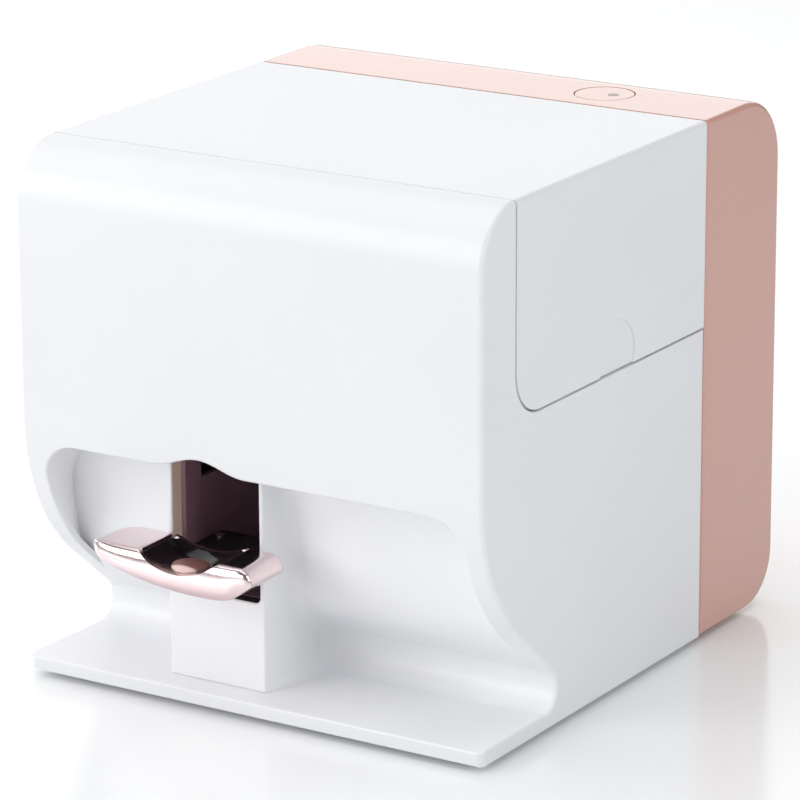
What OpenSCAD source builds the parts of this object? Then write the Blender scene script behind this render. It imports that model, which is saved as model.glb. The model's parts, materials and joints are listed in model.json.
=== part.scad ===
// Desktop nail printer: a white cabinet with a hand recess and a finger rest, a lift-off cover
// over the print mechanism, and a pink rear housing that holds the electronics.
// Inside place(): X to the right, Y back from the front face, Z up from the floor.

/* [Cabinet] */
// Overall width of the cabinet
body_w = 208; // [200:1:220]
// Depth from the front face to the back face
body_d = 230; // [226:1:240]
// Height of the top face above the floor
body_h = 214; // [210:1:224]
// Thickness of the moulded walls
wall = 2.6; // [2:0.1:3.2]
// Thickness of the base plate
base_t = 5.7; // [5:0.1:7]
// Height of the rubber feet
foot_h = 2.5; // [2:0.1:4]
// Depth of the pink rear housing
rear_d = 61; // [59:0.5:62]
// Radius of the edge between the front face and the top
front_top_r = 23.5; // [18:0.5:24]
// Radius of the upper back edge
rear_top_r = 26.5; // [18:0.5:28]
// Radius of the lower back edge
rear_bottom_r = 21; // [14:0.5:24]

/* [Hand recess] */
// Height at which the front face starts to curve back
belly_z = 105; // [104:0.5:108]
// Radius of the long curve below the front face, as a share of the depth
belly_share = 0.35; // [0.34:0.005:0.36]
// Angle through which the long curve turns
belly_angle = 50; // [46:1:52]
// Radius of the inside corner above the base plate
toe_r = 9; // [7:0.5:10]
// Width of the rim at each side of the recess
recess_rim = 9; // [8:0.5:14]
// Height of the front lip over the recess
lip_z = 96.5; // [94:0.5:99]
// Radius of the upper corners of the recess
lip_corner_r = 15; // [10:1:20]
// How far the lip rises over the finger opening
bump_rise = 4.7; // [2:0.1:5]
// Half width of that rise
bump_half_w = 21; // [16:1:24]
// Depth of the recess behind the lip
recess_back_y = 25; // [23:0.5:27]
// Lean of the recess back wall from upright
recess_lean = 7.5; // [4:0.5:9]
// Radius where the back wall turns into the slope
recess_knee_r = 28; // [20:1:32]

/* [Finger opening] */
// Sideways place of the finger opening
finger_x = -22; // [-26:1:-18]
// Width of the finger tower
tower_w = 44; // [43:0.5:48]
// Distance of the tower face behind the front face
tower_y = 11.7; // [10:0.1:13]
// Width of the finger opening
opening_w = 40; // [39:0.5:42]
// Height of the lower edge of the finger opening
opening_z = 44; // [42:0.5:45]
// Depth of the pale jamb before the dark liner
jamb_t = 6.5; // [5:0.5:8]
// Distance of the liner's end wall behind the front face
liner_end_y = 88; // [84:1:92]

/* [Finger rest] */
// Reach of the finger rest to the left of its groove's middle
rest_left = 39.4; // [38:0.2:40]
// Reach of the finger rest to the right of its groove's middle
rest_right = 32.7; // [31:0.1:33]
// Reach of the rest in front of the front face, at its middle
rest_reach = 16; // [14:0.2:20]
// How far the front corners of the rest lie behind its middle
rest_sweep = 3; // [2:0.2:5]
// Height of the top of the rest
rest_top_z = 67; // [66:0.5:68]
// Greatest height of the rest, from underside to top
rest_mid_t = 14.7; // [14:0.1:15.2]
// Radius of the curved underside of the rest
rest_keel_r = 140; // [130:1:150]
// Radius of the lower left corner of the rest
rest_end_r = 5; // [4:0.5:6]
// Radius of the upper right corner of the rest
rest_shoulder_r = 6; // [5:0.5:7]
// Width of the finger groove at the top
groove_w = 36; // [33:0.5:38]
// Depth of the finger groove
groove_d = 6.6; // [6:0.1:7]
// How far the back rim of the groove stands above its floor
groove_step = 2.6; // [1.5:0.1:3]
// Thickness of the black cradle that lines the groove
cradle_t = 1.6; // [1.4:0.1:1.8]
// How far the rest can be pressed down
rest_travel = 6; // [4:0.5:6.5]

/* [Cover] */
// Distance of the cover's front seam behind the front face
cover_front_y = 24; // [24:0.5:28]
// Height of the cover's lower seam
cover_seam_z = 130.5; // [128:0.5:134]
// Width of the seam round the cover
seam = 0.8; // [0.6:0.1:1]
// Radius of the lower front corner of the cover's cheeks
cheek_r = 17; // [12:1:20]
// Radius of the thumb scoop in each cheek
scoop_r = 14; // [12:0.5:15]
// Depth of the thumb scoop
scoop_depth = 1.2; // [0.8:0.1:1.4]
// Distance of the thumb scoop behind the front face
scoop_y = 99.5; // [90:0.5:110]

/* [Power button] */
// Sideways place of the power button
button_x = 46.8; // [40:0.2:55]
// Distance of the power button in front of the back face
button_back = 41; // [38:0.5:43]
// Diameter of the power button
button_d = 24; // [22:0.5:25]
// Gap round the power button
button_gap = 0.4; // [0.3:0.1:0.6]
// How far the power button can be pressed
button_travel = 1; // [0.6:0.1:1.2]

/* [Print mechanism] */
// Distance of the gantry beam in front of the drive shaft, parked
gantry_gap = 36; // [34:0.5:38]
// Diameter of the two depth rods
depth_rod_d = 8; // [6:0.5:8]
// Diameter of the two cross rods
cross_rod_d = 6; // [5:0.5:7]
// Radial running clearance in the bushes and bearings
running_gap = 0.05; // [0.03:0.01:0.08]
// Pitch radius of the belt pulleys
pulley_r = 6; // [5.5:0.5:6.5]
// Width of the belts
belt_w = 4; // [3:0.5:4.5]
// Thickness of the belts
belt_t = 1; // [0.8:0.1:1.2]
// Width of the ink cartridge
cartridge_w = 34; // [30:1:35]
// Depth of the ink cartridge
cartridge_d = 40; // [36:1:41]
// Height of the ink cartridge
cartridge_h = 62; // [56:1:66]

/* [Electronics] */
// Width of the main board
board_w = 150; // [130:1:170]
// Height of the main board
board_h = 105; // [90:1:115]
// Sideways place of the power inlet
inlet_x = -62; // [-75:1:-50]
// Height of the power inlet above the floor
inlet_z = 38; // [34:1:44]
// Diameter of the power inlet's barrel
inlet_d = 8; // [7:0.5:9]

/* [Hidden] */
$fn = 64;
eps = 0.01;
big = 600;
touch = 0.3;
arc_n = 14;

mid_y = (body_d - rest_reach) / 2;
split_y = body_d - rear_d;
base_top = foot_h + base_t;
roof_z = body_h - wall;
half_w = body_w / 2;
inner_half_w = half_w - wall;
recess_w = body_w - 2 * recess_rim;
ceiling_rise = 8;
ceiling_z = lip_z + ceiling_rise;

// Points along an arc about c, from angle a0 to a1
function arc(c, r, a0, a1, n = arc_n) =
    [for (i = [0:n]) c + r * [cos(a0 + (a1 - a0) * i / n), sin(a0 + (a1 - a0) * i / n)]];

// Lower front outline of the cabinet: long curve, slope, inside corner over the base plate
belly_r = belly_share * body_d;
belly_c = [belly_r, belly_z];
slope_dir = [sin(belly_angle), -cos(belly_angle)];
slope_out = [cos(belly_angle), sin(belly_angle)];
belly_end = belly_c - belly_r * slope_out;
slope_len = (belly_end[1] - toe_r * (1 + sin(belly_angle)) - base_top) / cos(belly_angle);
toe_c = belly_end + slope_len * slope_dir - toe_r * slope_out;

// Back wall of the recess: a leaning plane that turns on a knee into the same slope
knee_c0 = belly_end + recess_knee_r * slope_out;
lean_out = [cos(recess_lean), sin(recess_lean)];
knee_start0 = knee_c0 - recess_knee_r * lean_out;
lean_top_y0 = knee_start0[0] - (lip_z - knee_start0[1]) * tan(recess_lean);
knee_shift = (recess_back_y - lean_top_y0)
    / (slope_dir[0] + slope_dir[1] * tan(recess_lean));
knee_c = knee_c0 + knee_shift * slope_dir;

function lean_top(i) =
    let (s = knee_c - (recess_knee_r - i) * lean_out)
    [s[0] - (ceiling_z + i - s[1]) * tan(recess_lean), ceiling_z + i];
function recess_path(i) = concat(
    [lean_top(i)],
    arc(knee_c, recess_knee_r - i, 180 + recess_lean, 180 + belly_angle),
    arc(toe_c, toe_r + i, belly_angle, -90));
function reversed(list) = [for (i = [len(list) - 1:-1:0]) list[i]];

module place() {
    translate([0, -mid_y, 0]) children();
}

// Extrudes an outline drawn in (Y, Z) along X, centred
module along_x(w) {
    rotate([90, 0, 90]) linear_extrude(w, center = true) children();
}

// Extrudes an outline drawn in (X, Z) towards +Y, from y0 to y1
module along_y(y0, y1) {
    translate([0, y1, 0]) rotate([90, 0, 0]) linear_extrude(y1 - y0) children();
}

// Box given by its low and high corners
module box(a, b) {
    translate(a) cube(b - a);
}

module rod_x(x0, x1, y, z, r) {
    translate([x0, y, z]) rotate([0, 90, 0]) cylinder(h = x1 - x0, r = r);
}

module rod_y(y0, y1, x, z, r) {
    translate([x, y1, z]) rotate([90, 0, 0]) cylinder(h = y1 - y0, r = r);
}

module rod_z(z0, z1, x, y, r) {
    translate([x, y, z0]) cylinder(h = z1 - z0, r = r);
}

// Draws its children on the right and, mirrored, on the left
module both_sides() {
    children();
    mirror([1, 0, 0]) children();
}

// Cabinet outline in (Y, Z), set in by i on the front, top and lower curve
module cabinet_outline(i) {
    r = front_top_r - i;
    difference() {
        polygon(concat(
            [[split_y, foot_h], [split_y, body_h - i]],
            arc([front_top_r, body_h - front_top_r], r, 90, 180),
            [[i, foot_h]]));
        polygon(concat(
            [[-big, belly_z]],
            arc(belly_c, belly_r - i, 180, 180 + belly_angle),
            arc(toe_c, toe_r + i, belly_angle, -90),
            [[-big, base_top - i]]));
    }
}

// The inside of the cabinet, above its base plate
module cabinet_inside() {
    intersection() {
        cabinet_outline(wall);
        translate([0, base_top]) square([split_y, body_h]);
    }
    translate([split_y - eps, base_top]) square([wall, roof_z - base_top]);
}

// The recess seen from the front, with the rise over the finger opening
module recess_front() {
    w = recess_w / 2;
    r = lip_corner_r;
    rise = [for (i = [-arc_n:arc_n])
        [finger_x + bump_half_w * i / arc_n, lip_z + bump_rise * (1 + cos(180 * i / arc_n)) / 2]];
    polygon(concat(
        [[-w, base_top]],
        arc([-w + r, lip_z - r], r, 180, 90),
        rise,
        arc([w - r, lip_z - r], r, 90, 0),
        [[w, base_top]]));
}

// Side outline of the cover and of the notch that it fills, grown by g
module cover_outline(g) {
    y0 = cover_front_y + seam - g;
    z0 = cover_seam_z + seam / 2 - g;
    r = cheek_r + g;
    polygon(concat(
        [[split_y + g, body_h + g], [y0, body_h + g]],
        arc([y0 + r, z0 + r], r, 180, 270),
        [[split_y + g, z0]]));
}

module front_shell() {
    color([0.95, 0.95, 0.97]) place() difference() {
        along_x(body_w) cabinet_outline(0);
        along_x(2 * inner_half_w) cabinet_inside();
        along_y(-big, toe_c[0] + toe_r + wall) recess_front();
        along_x(big) cover_outline(seam);
        base_screw_holes();
    }
}

// Position of each base screw, in from the sides and clear of the feet
base_screw_inset = 30;
base_screw_x = half_w - base_screw_inset;
base_screw_ys = [72, split_y - 14];
base_screw_r = 1.5;
base_head_r = 3;
base_head_t = 2;
module at_base_screws() {
    for (x = [-base_screw_x, base_screw_x], y = base_screw_ys)
        translate([x, y, foot_h]) children();
}
module base_screw_holes() {
    at_base_screws() {
        translate([0, 0, -eps]) cylinder(h = base_t + 1, r = base_screw_r);
        translate([0, 0, -eps]) cylinder(h = base_head_t + 1 + eps, r = base_head_r + touch);
    }
}

module base_screws() {
    color([0.7, 0.7, 0.72]) place() at_base_screws() {
        translate([0, 0, 1]) cylinder(h = base_head_t, r = base_head_r);
        translate([0, 0, 1 + base_head_t - eps]) cylinder(h = base_t + 1, r = base_screw_r);
    }
}

// Dark liner behind the finger opening
liner_t = 2;
liner_y0 = tower_y + jamb_t;
liner_z1 = ceiling_z - touch;
window_gap = 0.2;
opening_corner_r = 2.5;
// Behind this line the liner is cut down, so that the nozzle can pass over the nail
print_window_y = recess_back_y + 4;
print_window_z = 84;

module recess_panel() {
    half = opening_w / 2 + window_gap;
    color([0.93, 0.94, 0.96]) place() difference() {
        union() {
            along_x(recess_w) polygon(concat(recess_path(0), reversed(recess_path(wall))));
            difference() {
                intersection() {
                    along_x(recess_w + 2 * wall) polygon(concat(
                        [[0, base_top - wall], [0, ceiling_z + wall]], recess_path(wall)));
                    along_x(big) cabinet_inside();
                }
                along_x(recess_w) polygon(concat(
                    [[0, base_top - wall], [0, ceiling_z]], recess_path(0)));
            }
        }
        box([-half_w, -1, 0], [half_w, body_d, base_top]);
        box([finger_x - half, tower_y, opening_z - liner_t - window_gap],
            [finger_x + half, liner_end_y, ceiling_z - eps]);
    }
}

module finger_tower() {
    half = opening_w / 2;
    r = opening_corner_r;
    color([0.95, 0.95, 0.97]) place() difference() {
        intersection() {
            box([finger_x - tower_w / 2, tower_y, base_top],
                [finger_x + tower_w / 2, body_d, ceiling_z]);
            along_x(recess_w) polygon(concat(
                [[0, base_top], [0, ceiling_z]], recess_path(0)));
        }
        // finger opening with rounded lower corners
        along_y(tower_y - 1, liner_end_y) translate([finger_x, 0]) polygon(concat(
            [[half, ceiling_z + 1], [-half, ceiling_z + 1]],
            arc([-half + r, opening_z + r], r, 180, 270, 6),
            arc([half - r, opening_z + r], r, 270, 360, 6)));
        // hollow below the opening, open at the back
        box([finger_x - tower_w / 2 + wall, tower_y + wall, base_top + wall],
            [finger_x + tower_w / 2 - wall, body_d, opening_z - liner_t - wall]);
        // seat of the liner
        box([finger_x - half, liner_y0, opening_z - liner_t],
            [finger_x + half, body_d, ceiling_z + 1]);
    }
}

module chamber_liner() {
    half = opening_w / 2;
    color([0.2, 0.12, 0.14]) place() difference() {
        box([finger_x - half, liner_y0, opening_z - liner_t],
            [finger_x + half, liner_end_y, liner_z1]);
        box([finger_x - half + liner_t, liner_y0 - 1, opening_z],
            [finger_x + half - liner_t, liner_end_y - liner_t, ceiling_z + 1]);
        box([finger_x - half - 1, print_window_y, print_window_z],
            [finger_x + half + 1, liner_end_y + 1, ceiling_z + 1]);
    }
}

// Finger rest: a boat-shaped shell with a groove along Y, on a carrier that slides on two posts
post_r = 2;
spring_r = 3.1;
spring_wire = 0.7;
collar_r = 2.3;
post_dx = opening_w / 2 - liner_t - spring_r - touch;
post_y = 36;
rest_back_gap = 1.4;
rest_back_y = tower_y - rest_back_gap;
rest_back_r = 10;
rest_back_right_r = 2;
rest_front_r = 2.5;
rest_lip = 1.2;
rest_keel_x = 8.5;
rest_tip_r = 2.5;
rest_tip_angle = 8;
rest_rake = 54;
rest_turn_r = 14;
groove_r = (pow(groove_w / 2, 2) + pow(groove_d, 2)) / (2 * groove_d);
groove_z = rest_top_z - groove_d + groove_r;
back_rim_inset = 1;
back_rim_half = groove_w / 2 - back_rim_inset;
back_rim_d = groove_d - groove_step;
back_rim_r = (pow(back_rim_half, 2) + pow(back_rim_d, 2)) / (2 * back_rim_d);
front_rim_t = 2.5;
back_rim_t = 2;
cradle_y0 = front_rim_t - rest_reach;
cradle_y1 = rest_back_y - back_rim_t;
cradle_z1 = rest_top_z - rest_lip;
cradle_back_t = 1.2;
carrier_t = 3;
carrier_half = 12;
carrier_y0 = 0;
carrier_z1 = rest_top_z - groove_d - cradle_t;
carrier_z0 = carrier_z1 - carrier_t;
carrier_y1 = post_y + 6;
post_lead = 0.5;
post_top_z = carrier_z1 + post_lead;
pad_r = 7.5;
pad_rise = 2.6;
pad_y = -5;
pad_curve_r = (pow(pad_r, 2) + pow(pad_rise, 2)) / (2 * pad_rise);

module at_posts() {
    for (side = [-1, 1]) translate([finger_x + side * post_dx, post_y, 0]) children();
}

// Each post has a collar at its foot, which stops the rest at the end of its travel
module guide_posts() {
    color([0.75, 0.76, 0.78]) place() at_posts() {
        rod_z(opening_z, post_top_z, 0, 0, post_r);
        rod_z(opening_z, carrier_z0 - rest_travel, 0, 0, collar_r);
    }
}

module rest_springs() {
    color([0.6, 0.6, 0.62]) place() at_posts() translate([0, 0, opening_z]) difference() {
        cylinder(h = carrier_z0 - opening_z, r = spring_r);
        translate([0, 0, -1]) cylinder(h = big, r = spring_r - spring_wire);
    }
}

// Outline of the rest from above
module rest_plan() {
    mid = (rest_right - rest_left) / 2;
    half = (rest_right + rest_left) / 2;
    back_r = rest_back_r;
    right_r = rest_back_right_r;
    side_y = rest_sweep + rest_front_r - rest_reach;
    front_curve_r = (pow(half, 2) + pow(rest_sweep, 2)) / (2 * rest_sweep);
    front_angle = asin((half - rest_front_r) / front_curve_r);
    polygon(concat(
        [[-rest_left, side_y]],
        arc([mid, front_curve_r - rest_reach], front_curve_r, 270 - front_angle, 270 + front_angle),
        [[rest_right, side_y]],
        arc([rest_right - right_r, rest_back_y - right_r], right_r, 0, 90),
        arc([back_r - rest_left, rest_back_y - back_r], back_r, 90, 180)));
}

// Outline of the rest from the front: flat top, curved underside, and a right end that
// rounds over, turns on a small tip and runs down to the underside along a straight rake
module rest_front() {
    keel = [rest_keel_x, rest_keel_r - rest_mid_t];
    end_x = rest_end_r - rest_left;
    end = [end_x, keel[1] - sqrt(pow(rest_keel_r - rest_end_r, 2) - pow(keel[0] - end_x, 2))];
    end_angle = 360 + atan2(end[1] - keel[1], end[0] - keel[0]);
    shoulder = [rest_right - rest_shoulder_r, -rest_shoulder_r];
    tip = shoulder
        + (rest_shoulder_r - rest_tip_r) * [cos(rest_tip_angle), sin(rest_tip_angle)];
    out = [cos(rest_rake), -sin(rest_rake)];
    along = [sin(rest_rake), cos(rest_rake)];
    reach = tip * out + rest_tip_r - rest_turn_r;
    ahead = along * keel;
    drop = sqrt(pow(rest_keel_r - rest_turn_r, 2) - pow(out * keel - reach, 2));
    turn = reach * out + (ahead - drop) * along;
    turn_angle = 360 + atan2(turn[1] - keel[1], turn[0] - keel[0]);
    polygon(concat(
        [[-rest_left, 0]],
        arc(end, rest_end_r, 180, end_angle),
        arc(keel, rest_keel_r, end_angle, turn_angle),
        arc(turn, rest_turn_r, turn_angle, 360 - rest_rake),
        arc(tip, rest_tip_r, 360 - rest_rake, 360 + rest_tip_angle),
        arc(shoulder, rest_shoulder_r, rest_tip_angle, 90)));
}

// Room for the cradle below the lip of the rest
module cradle_room(r) {
    intersection() {
        rod_y(cradle_y0, cradle_y1, finger_x, groove_z, r);
        box([-half_w, -big, 0], [half_w, big, cradle_z1]);
    }
}

module back_rim_cut() {
    rod_y(-big, big, finger_x, rest_top_z - back_rim_d + back_rim_r, back_rim_r);
}

module rest_cover() {
    color([0.93, 0.76, 0.76]) place() difference() {
        intersection() {
            translate([finger_x, 0, 0]) linear_extrude(big) rest_plan();
            along_y(-big, big) translate([finger_x, rest_top_z]) rest_front();
        }
        // groove, shallower at its back rim
        rod_y(-big, cradle_y1, finger_x, groove_z, groove_r);
        back_rim_cut();
        cradle_room(groove_r + cradle_t);
        // slot for the front of the carrier
        box([finger_x - carrier_half, carrier_y0, carrier_z0],
            [finger_x + carrier_half, big, carrier_z1]);
    }
}

module rest_carrier() {
    half = opening_w / 2 - liner_t - touch;
    color([0.3, 0.3, 0.32]) place() difference() {
        union() {
            box([finger_x - carrier_half, carrier_y0, carrier_z0],
                [finger_x + carrier_half, post_y, carrier_z1]);
            box([finger_x - half, liner_y0 + 4, carrier_z0],
                [finger_x + half, carrier_y1, carrier_z1]);
        }
        at_posts() translate([0, 0, carrier_z0 - 1])
            cylinder(h = carrier_t + 2, r = post_r + running_gap);
    }
}

module rest_cradle() {
    color([0.08, 0.07, 0.08]) place() difference() {
        cradle_room(groove_r + cradle_t);
        rod_y(-big, cradle_y1 - cradle_back_t, finger_x, groove_z, groove_r);
        back_rim_cut();
    }
}

// Low cushion at the front of the groove, curved along the finger
module rest_pad() {
    z = rest_top_z - groove_d + pad_rise - pad_curve_r;
    color([0.55, 0.38, 0.36]) place() intersection() {
        rod_y(cradle_y0, cradle_y1, finger_x, groove_z, groove_r);
        rod_z(0, big, finger_x, pad_y, pad_r);
        rod_x(finger_x - pad_r - 1, finger_x + pad_r + 1, pad_y, z, pad_curve_r);
    }
}

// Pink rear housing, open towards the cabinet
rear_gap = 0.4;
rear_y0 = split_y + rear_gap;
board_t = 1.6;
screw_r = 1.5;
button_y = body_d - button_back;
switch_post_gap = 6;
switch_post_dx = button_d / 2 + switch_post_gap;
switch_post_r = 3;
switch_drop = 15.4;
switch_board_z = roof_z - switch_drop;
switch_screw_h = 7;

module rear_outline(i, y0) {
    polygon(concat(
        [[y0, body_h - i]],
        arc([body_d - rear_top_r, body_h - rear_top_r], rear_top_r - i, 90, 0),
        arc([body_d - rear_bottom_r, foot_h + rear_bottom_r], rear_bottom_r - i, 0, -90),
        [[y0, foot_h + i]]));
}

module at_switch_posts() {
    for (side = [-1, 1]) translate([button_x + side * switch_post_dx, button_y, 0]) children();
}

module rear_housing() {
    color([0.86, 0.72, 0.69]) place() {
        difference() {
            along_x(body_w) rear_outline(0, rear_y0);
            along_x(2 * inner_half_w) rear_outline(wall, rear_y0 - 1);
            rod_z(roof_z - 1, body_h + 1, button_x, button_y, button_d / 2 + button_gap);
            rod_y(body_d - 2 * wall, body_d + 1, inlet_x, inlet_z, inlet_d / 2 + touch);
        }
        at_switch_posts() difference() {
            rod_z(switch_board_z + board_t, roof_z + eps, 0, 0, switch_post_r);
            rod_z(switch_board_z, switch_board_z + switch_screw_h + 1, 0, 0, screw_r);
        }
    }
}

// Bulkhead that closes the rear housing and carries the main board
bulkhead_t = 2.4;
bulkhead_y = rear_y0 + 0.2;
bulkhead_gap = 0.2;
standoff = 7;
board_y = bulkhead_y + bulkhead_t + standoff;
board_z = 45;
board_post_r = 4;
board_inset = 7;
cable_slot_w = 40;
cable_slot_h = 8;
cable_slot_z = board_z + board_h + 6;

module at_board_screws() {
    for (x = [-board_w / 2 + board_inset, board_w / 2 - board_inset],
         z = [board_z + board_inset, board_z + board_h - board_inset])
        translate([x, 0, z]) children();
}

module bulkhead() {
    half = inner_half_w - bulkhead_gap;
    color([0.82, 0.83, 0.85]) place() difference() {
        union() {
            box([-half, bulkhead_y, foot_h + wall + bulkhead_gap],
                [half, bulkhead_y + bulkhead_t, roof_z - bulkhead_gap]);
            at_board_screws() rod_y(bulkhead_y + bulkhead_t - eps, board_y, 0, 0, board_post_r);
        }
        at_board_screws() rod_y(bulkhead_y + bulkhead_t, board_y + 1, 0, 0, screw_r);
        // passage for the cable of the mechanism
        box([-cable_slot_w / 2, bulkhead_y - 1, cable_slot_z],
            [cable_slot_w / 2, bulkhead_y + bulkhead_t + 1, cable_slot_z + cable_slot_h]);
    }
}

module main_board() {
    color([0.1, 0.35, 0.2]) place() difference() {
        box([-board_w / 2, board_y, board_z], [board_w / 2, board_y + board_t, board_z + board_h]);
        at_board_screws() rod_y(board_y - 1, board_y + board_t + 1, 0, 0, screw_r);
    }
}

// Square parts on the main board: centre across, centre up from the board's edge, then sizes
chips = [[0, 62, 24, 24, 2], [35, 55, 14, 14, 1.6], [-41, 25, 22, 10, 9], [36, 18, 32, 8, 7]];
can_r = 5;
can_h = 14;
can_xs = [-50, -36, -22];
can_z = 78;
module board_chips() {
    y = board_y + board_t;
    color([0.12, 0.12, 0.13]) place() {
        for (c = chips) box(
            [c[0] - c[2] / 2, y, board_z + c[1] - c[3] / 2],
            [c[0] + c[2] / 2, y + c[4], board_z + c[1] + c[3] / 2]);
        for (x = can_xs) rod_y(y, y + can_h, x, board_z + can_z, can_r);
    }
}

screw_head_r = 3;
screw_head_t = 1.8;
module board_screws() {
    y = board_y + board_t;
    color([0.75, 0.75, 0.77]) place() {
        at_board_screws() {
            rod_y(bulkhead_y + bulkhead_t + 0.5, y + eps, 0, 0, screw_r);
            rod_y(y, y + screw_head_t, 0, 0, screw_head_r);
        }
        at_switch_posts() {
            rod_z(switch_board_z - eps, switch_board_z + switch_screw_h, 0, 0, screw_r);
            rod_z(switch_board_z - screw_head_t, switch_board_z, 0, 0, screw_head_r);
        }
    }
}

jack_half = 7;
jack_depth = 13;
jack_bore_depth = 9;
jack_rim = 1.2;
jack_pin_r = 1;
module power_jack() {
    y = body_d - wall;
    color([0.15, 0.15, 0.16]) place() {
        difference() {
            union() {
                box([inlet_x - jack_half, y - jack_depth, inlet_z - jack_half],
                    [inlet_x + jack_half, y, inlet_z + jack_half]);
                rod_y(y - eps, body_d - touch, inlet_x, inlet_z, inlet_d / 2);
            }
            rod_y(y - jack_bore_depth, body_d, inlet_x, inlet_z, inlet_d / 2 - jack_rim);
        }
        rod_y(y - jack_bore_depth - eps, y, inlet_x, inlet_z, jack_pin_r);
    }
}

switch_board_rim = 5;
switch_board_half_d = 8;
module switch_board() {
    half = switch_post_dx + switch_board_rim;
    color([0.1, 0.35, 0.2]) place() difference() {
        box([button_x - half, button_y - switch_board_half_d, switch_board_z],
            [button_x + half, button_y + switch_board_half_d, switch_board_z + board_t]);
        at_switch_posts()
            rod_z(switch_board_z - 1, switch_board_z + board_t + 1, 0, 0, screw_r);
    }
}

// Button: the stem ends just above the switch when it is pressed home
flange_t = 1.8;
flange_extra = 1.6;
stem_r = 2.5;
switch_h = 4.4;
switch_body_h = 3.4;
switch_half = 3;
switch_cap_r = 1.7;
stem_z = switch_board_z + board_t + switch_h + button_travel + 0.3;
lens_r = 2;
lens_dx = 4;
lens_t = 1.5;
module tact_switch() {
    z = switch_board_z + board_t;
    color([0.2, 0.2, 0.21]) place() {
        box([button_x - switch_half, button_y - switch_half, z],
            [button_x + switch_half, button_y + switch_half, z + switch_body_h]);
        rod_z(z + switch_body_h - eps, z + switch_h, button_x, button_y, switch_cap_r);
    }
}

module power_button() {
    flange_z1 = roof_z - touch;
    color([0.9, 0.78, 0.76]) place() difference() {
        union() {
            rod_z(flange_z1 - eps, body_h, button_x, button_y, button_d / 2);
            rod_z(flange_z1 - flange_t, flange_z1, button_x, button_y,
                button_d / 2 + flange_extra);
            rod_z(stem_z, flange_z1 - flange_t + eps, button_x, button_y, stem_r);
        }
        rod_z(body_h - lens_t, body_h + 1, button_x + lens_dx, button_y, lens_r);
    }
}

module status_lens() {
    color([0.12, 0.1, 0.11]) place()
        rod_z(body_h - lens_t, body_h - 0.1, button_x + lens_dx, button_y, lens_r);
}

// Collar under the cover, which slides down over it
bay_t = 2.4;
bay_gap = 0.3;
bay_half = inner_half_w - bay_gap;
bay_y0 = cover_front_y + seam + bay_gap;
bay_y1 = split_y - bay_gap;
bay_z0 = cover_seam_z - 20;
bay_z1 = roof_z - bay_gap;
module bay_frame() {
    color([0.86, 0.87, 0.89]) place() difference() {
        box([-bay_half, bay_y0, bay_z0], [bay_half, bay_y1, bay_z1]);
        box([-bay_half + bay_t, bay_y0 + bay_t, bay_z0 - 1],
            [bay_half - bay_t, bay_y1 - bay_t, bay_z1 + 1]);
    }
}

module cover() {
    color([0.97, 0.97, 0.98]) place() difference() {
        along_x(body_w) intersection() {
            cover_outline(0);
            square([split_y - rear_gap, body_h]);
        }
        box([-inner_half_w, 0, 0], [inner_half_w, body_d, roof_z]);
        for (side = [-1, 1]) translate([side * half_w, scoop_y, cover_seam_z + 6])
            rotate([0, 90, 0]) cylinder(h = 2 * scoop_depth, r = scoop_r, center = true);
    }
}

foot_r = 9;
foot_inset = 20;
module rubber_feet() {
    color([0.25, 0.25, 0.27]) place()
        for (x = [-half_w + foot_inset, half_w - foot_inset],
             y = [foot_inset, body_d - rear_bottom_r - foot_r - 3])
            rod_z(0, foot_h, x, y, foot_r);
}

// Chassis: a steel pan with two side plates, whose tabs hold the depth rods
plate_room = 9.4;
plate_half = inner_half_w - plate_room;
plate_t = 2;
pan_front_gap = 3;
pan_back_gap = 7;
pan_y0 = toe_c[0] + toe_r + wall + pan_front_gap;
pan_y1 = split_y - pan_back_gap;
rod_inset = 14;
rod_dx = plate_half - rod_inset;
rod_z = 120.5;
rod_front_gap = 4;
rod_y0 = bay_y0 + bay_t + rod_front_gap;
shaft_inset = 10;
shaft_y = pan_y1 - shaft_inset;
shaft_rise = 18;
shaft_z = rod_z + shaft_rise;
shaft_r = 3;
plate_rise = 14;
plate_top_z = shaft_z + plate_rise;
tab_h = 10;
tab_half = 8;
belt_inset = 5;
belt_x = plate_half - belt_inset;
idler_inset = 9;
idler_y = rod_y0 + idler_inset;
pin_r = 2;
motor_drop = 36;
motor_z = shaft_z - motor_drop;
motor_r = 12.5;
motor_t = 18;
motor_inset = 32;
motor_belt_inset = 24;
motor_x0 = motor_inset - plate_half;
motor_x1 = motor_x0 + motor_t;
motor_belt_x = motor_belt_inset - plate_half;
motor_shelf = 16;
motor_half_y = 14;
boss_r = 3.5;
boss_bore = 5;
spindle_r = 1.5;

module side_plate() {
    difference() {
        translate([plate_half - plate_t / 2, 0, 0]) along_x(plate_t) polygon([
            [pan_y0, base_top], [pan_y1, base_top], [pan_y1, plate_top_z],
            [rod_y0, plate_top_z], [rod_y0, rod_z - tab_h - 1], [pan_y0, rod_z - tab_h - 1]]);
        rod_x(plate_half - 5, plate_half + 5, shaft_y, shaft_z, shaft_r + running_gap);
        rod_x(plate_half - 5, plate_half + 5, idler_y, shaft_z, pin_r);
    }
    for (y = [rod_y0, pan_y1 - plate_t]) difference() {
        box([rod_dx - tab_half, y, rod_z - tab_h], [plate_half - eps, y + plate_t, rod_z + tab_h]);
        rod_y(y - 1, y + plate_t + 1, rod_dx, rod_z, depth_rod_d / 2);
    }
}

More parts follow.
